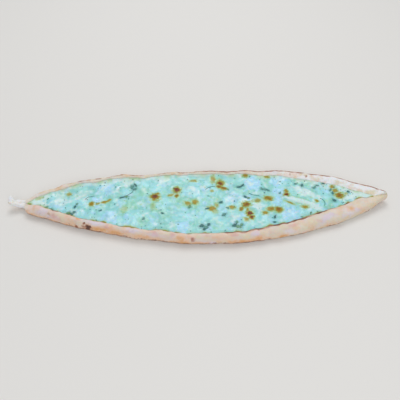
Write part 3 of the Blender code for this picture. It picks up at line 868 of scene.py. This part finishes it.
class Wire:
    """A socket of a finish, with arithmetic: an expression on wires and numbers adds its Math nodes."""

    def __init__(self, finish, socket):
        self.finish, self.socket = finish, socket

    def __add__(self, other):
        return self.finish.maths("ADD", self, other)

    def __sub__(self, other):
        return self.finish.maths("SUBTRACT", self, other)

    def __rsub__(self, other):
        return self.finish.maths("SUBTRACT", other, self)

    def __mul__(self, other):
        return self.finish.maths("MULTIPLY", self, other)

    __radd__, __rmul__ = __add__, __mul__

    def step(self, none, full):
        """Nought at `none`, one at `full`, and a smooth step between them."""
        settings = {"interpolation_type": "SMOOTHSTEP"}
        sockets = {"Value": self, "From Min": none, "From Max": full}
        return self.finish.node("ShaderNodeMapRange", settings, sockets)


class Finish:
    """A procedural material: each method adds nodes to its tree and gives back a wire."""

    def __init__(self, name, roughness, **constants):
        self.material = bpy.data.materials.new(name)
        self.material.use_nodes = True
        self.tree = self.material.node_tree
        self.shader = self.tree.nodes["Principled BSDF"]
        self.shader.inputs["Roughness"].default_value = roughness
        for socket, value in constants.items():
            self.shader.inputs[socket.replace("_", " ")].default_value = value
        self.place = self.node("ShaderNodeTexCoord", {}, {}, "Object")

    def node(self, kind, settings, sockets, output=0):
        """Adds one node: its settings first, then a value or wire for each socket, by name or number."""
        node = self.tree.nodes.new(kind)
        for name, value in settings.items():
            setattr(node, name, value)
        for name, value in sockets.items():
            if isinstance(value, Wire):
                self.tree.links.new(value.socket, node.inputs[name])
            else:
                node.inputs[name].default_value = value
        return Wire(self, node.outputs[output])

    def maths(self, operation, first, second):
        return self.node("ShaderNodeMath", {"operation": operation}, {0: first, 1: second})

    def mask(self, name):
        return self.node("ShaderNodeAttribute", {"attribute_name": name}, {}, "Fac")

    def noise(self, size, detail=2.0, roughness=0.5, shift=0.0):
        """Cloudy noise, 0 to 1, whose features are about `size` across."""
        moved = {0: self.place, 1: (shift, shift, shift)}
        place = self.node("ShaderNodeVectorMath", {"operation": "ADD"}, moved)
        sockets = {"Vector": place, "Scale": 1 / size, "Detail": detail, "Roughness": roughness}
        return self.node("ShaderNodeTexNoise", {}, sockets)

    def mix(self, share, first, second):
        """A colour that goes from the first to the second as the share goes from 0 to 1."""
        return self.node("ShaderNodeMix", {"data_type": "RGBA"}, {0: share, 6: first, 7: second}, 2)

    def bump(self, height, distance, strength):
        return self.node("ShaderNodeBump", {}, {"Height": height, "Distance": distance, "Strength": strength})

    def feed(self, **sockets):
        """Links wires to the shader's own sockets."""
        for name, wire in sockets.items():
            self.tree.links.new(wire.socket, self.shader.inputs[name.replace("_", " ")])
        return self.material


DOUGH = {
    "pale": srgb(218, 208, 198),
    "ivory": srgb(221, 209, 180),
    "peachy": srgb(228, 202, 180),
    "pink": srgb(216, 168, 162),
    "lilac": srgb(219, 208, 221),
    "peach": srgb(230, 188, 152),
    "toasted": srgb(222, 168, 116),
    "brown": srgb(152, 90, 62),
    "burnt": srgb(76, 46, 40),
    "flour": srgb(236, 240, 246),
    # Olive tan of the tail's far side: oil and painted shade.
    "oily_and_shade": srgb(186, 174, 110),
}
CHEESE = {
    "mint": srgb(141, 209, 203),
    "aqua": srgb(160, 224, 230),
    "green": srgb(145, 209, 181),
    "blue": srgb(170, 220, 248),
    # Milky white, also used for painted sheen.
    "milky_and_sheen": srgb(211, 236, 236),
    "stain": srgb(76, 142, 138),
    "yellow": srgb(168, 196, 108),
    "olive": srgb(134, 144, 36),
    "golden": srgb(162, 138, 14),
    "brown": srgb(126, 90, 8),
    "deep": srgb(110, 48, 4),
}
HERB = {"leaf": srgb(96, 156, 150), "dark": srgb(62, 116, 116), "fresh": srgb(112, 158, 110)}


def dough_finish():
    """Baked dough: ivory, peach, pink and lilac clouds, toasted slopes, browned lips, scorches and flour,
    with painted shade in the near rim's base line and on the oily tail end.
    """
    dough = Finish("baked_dough", 0.72, Subsurface_Weight=0.1, Subsurface_Scale=0.002)
    clouds = dough.noise(16 * MM, 3.0)
    speckle = dough.noise(2.6 * MM, 2.0, 0.6, 3.0) - 0.5
    blotches = dough.noise(8 * MM, 2.0, 0.5, 5.0)
    warm, toast, lip, scorch_and_contact_shade = (dough.mask(name) for name in ("warm", "toast", "lip", "scorch_and_contact_shade"))
    ruddy = dough.mix(warm, DOUGH["ivory"], DOUGH["peachy"])
    colour = dough.mix(clouds.step(0.40, 0.62) * 0.7, ruddy, DOUGH["pale"])
    for name, colour_name in (("cream", "ivory"), ("pink", "pink"), ("lilac", "lilac")):
        share = (dough.mask(name) + speckle * 0.2).step(0.10, 0.80) * 0.85
        colour = dough.mix(share, colour, DOUGH[colour_name])
    colour = dough.mix(dough.mask("flour") * blotches.step(0.72, 0.40) * 0.9, colour, DOUGH["flour"])
    peachy = (toast + speckle * 0.25 + (blotches - 0.5) * 0.5).step(0.12, 0.62)
    colour = dough.mix(peachy * (warm * 0.5 + 0.4), colour, DOUGH["peach"])
    toasted = (toast + speckle * 0.35 + (blotches - 0.5) * 0.4).step(0.45, 0.95)
    colour = dough.mix(toasted, colour, DOUGH["toasted"])
    # Painted shade and oil: the olive band on the tail's far side.
    colour = dough.mix(dough.mask("oily_and_shade") * 0.8, colour, DOUGH["oily_and_shade"])
    colour = dough.mix((lip + speckle * 0.3).step(0.20, 0.75) * 0.9, colour, DOUGH["brown"])
    colour = dough.mix((lip + speckle * 0.5).step(0.65, 1.10), colour, DOUGH["burnt"])
    # Scorches and rust in brown and burnt, with the near rim's base line, which is partly painted contact
    # shadow.
    colour = dough.mix((scorch_and_contact_shade + speckle * 0.3).step(0.15, 0.75) * 0.85, colour, DOUGH["brown"])
    colour = dough.mix((scorch_and_contact_shade + speckle * 0.4).step(0.60, 1.10) * 0.9, colour, DOUGH["burnt"])
    base = dough.noise(13 * MM, 4.0, 0.62, 9.0)
    baked = dough.mix(base.step(0.42, 0.66), DOUGH["peach"], DOUGH["toasted"])
    baked = dough.mix((base + speckle * 0.3).step(0.56, 0.74), baked, DOUGH["brown"])
    colour = dough.mix(dough.mask("underside"), colour, baked)
    roughness = 0.78 - lip * 0.22 - toast * 0.12
    grain = dough.noise(1.3 * MM, 3.0, 0.6, 7.0) + blotches * 0.8
    return dough.feed(Base_Color=colour, Roughness=roughness, Normal=dough.bump(grain, 0.5 * MM, 0.2))


def cheese_finish():
    """Melted cheese: mint, aqua, blue and milky pools with painted sheen, herb stains, olive rings, painted
    shade in the fold's grooves, golden to brown spots.
    """
    cheese = Finish("melted_cheese", 0.4, Subsurface_Weight=0.15, Subsurface_Scale=0.002)
    cloud = cheese.noise(18 * MM, 2.0, 0.5) - 0.5
    small = cheese.noise(8 * MM, 1.0, 0.5, 4.0) - 0.5
    brown, halo_and_groove_shade, dark = cheese.mask("brown"), cheese.mask("halo_and_groove_shade"), cheese.mask("dark")
    colour = cheese.mix((cloud + small * 0.6).step(-0.25, 0.20), CHEESE["mint"], CHEESE["aqua"])
    colour = cheese.mix((cheese.mask("greenish") + small * 0.5).step(0.1, 1.0) * 0.8, colour, CHEESE["green"])
    colour = cheese.mix((cheese.mask("bluish") - small * 0.6).step(0.1, 0.9) * 0.9, colour, CHEESE["blue"])
    # Milky white: partly the cheese's own colour, partly painted sheen.
    colour = cheese.mix((cheese.mask("milky_and_sheen") + small * 0.7).step(0.1, 0.9) * 0.9, colour, CHEESE["milky_and_sheen"])
    colour = cheese.mix(cheese.mask("stain") * 0.75, colour, CHEESE["stain"])
    # The halo mask also holds painted shade along the fold's grooves.
    colour = cheese.mix((halo_and_groove_shade + small * 0.2).step(0.0, 0.75) * 0.65, colour, CHEESE["yellow"])
    colour = cheese.mix((halo_and_groove_shade + small * 0.4).step(0.50, 1.05) * 0.9, colour, CHEESE["olive"])
    colour = cheese.mix((brown + small * 0.4).step(0.15, 0.80), colour, CHEESE["golden"])
    colour = cheese.mix((brown + small * 0.8).step(0.65, 1.15) * 0.8, colour, CHEESE["brown"])
    colour = cheese.mix((dark + small * 0.4).step(0.20, 0.80), colour, CHEESE["deep"])
    gloss = cheese.noise(7 * MM, 2.0, 0.5, 8.0)
    roughness = 0.28 + gloss.step(0.35, 0.7) * 0.20 + brown * 0.15
    return cheese.feed(
        Base_Color=colour, Roughness=roughness, Normal=cheese.bump(small + cloud, 0.6 * MM, 0.06)
    )


def herb_finish():
    """Chopped herbs: each scrap has its own green, dark where the oven dried it."""
    herb = Finish("green_herb", 0.55)
    tone = herb.mask("tone")
    vein = herb.noise(1.6 * MM, 2.0)
    colour = herb.mix(tone.step(0.25, 0.75), HERB["dark"], HERB["leaf"])
    colour = herb.mix((tone * 0.6 + vein * 0.6).step(0.62, 0.95), colour, HERB["fresh"])
    return herb.feed(Base_Color=colour, Normal=herb.bump(vein, 0.3 * MM, 0.2))


# ---------------------------------------------------------------------------------------------------------
# Floor, light and camera
# ---------------------------------------------------------------------------------------------------------

FLOOR_SIZE = 12.0
FLOOR_COLOUR = (0.78, 0.77, 0.75, 1.0)
CAMERA_PLACE = (-0.0066, -0.3454, 0.4373)
CAMERA_TURN = (39.6, 0.0, -1.19)
CAMERA_LENS = 37.8
WORLD_LIGHT = 0.50
LAMPS = {
    "back_softbox": {"place": (0.0, 0.9, 1.4), "size": 0.8, "watts": 8.5},
    "front_softbox": {"place": (0.2, -1.0, 1.2), "size": 1.2, "watts": 7.5},
}


def stage():
    """A plain pale floor, an even white world, two large soft lamps, behind and in front, and the camera."""
    half = FLOOR_SIZE / 2
    corners = np.array([(-half, -half, 0), (half, -half, 0), (half, half, 0), (-half, half, 0)])
    plain = Finish("plain_floor", 0.9)
    plain.shader.inputs["Base Color"].default_value = FLOOR_COLOUR
    floor = make_mesh("floor", corners, [np.array([[0, 1, 2, 3]])], plain.material)

    scene = bpy.context.scene
    scene.world = bpy.data.worlds.new("even_light")
    scene.world.use_nodes = True
    background = scene.world.node_tree.nodes["Background"]
    background.inputs["Color"].default_value = (1, 1, 1, 1)
    background.inputs["Strength"].default_value = WORLD_LIGHT

    for name, values in LAMPS.items():
        lamp = bpy.data.lights.new(name, "AREA")
        lamp.size, lamp.energy = values["size"], values["watts"]
        softbox = bpy.data.objects.new(name, lamp)
        softbox.location = values["place"]
        softbox.rotation_euler = (-softbox.location).to_track_quat("-Z", "Y").to_euler()
        scene.collection.objects.link(softbox)

    lens = bpy.data.cameras.new("camera")
    lens.lens, lens.sensor_width, lens.clip_start = CAMERA_LENS, 36.0, 0.01
    camera = bpy.data.objects.new("camera", lens)
    camera.location = CAMERA_PLACE
    camera.rotation_euler = np.radians(CAMERA_TURN)
    scene.collection.objects.link(camera)
    scene.camera = camera
    scene.view_settings.view_transform = "Standard"


def build():
    stage()
    dough, melt, herb = dough_finish(), cheese_finish(), herb_finish()
    pieces = {
        "baked_dough": [crust_piece(dough)],
        "melted_cheese": [cheese_piece(melt), herb_piece(herb), stem_piece(herb)],
    }
    for slot, some in pieces.items():
        for piece in some:
            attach(piece, "root")
    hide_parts("crust")
    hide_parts("cheese")


build()
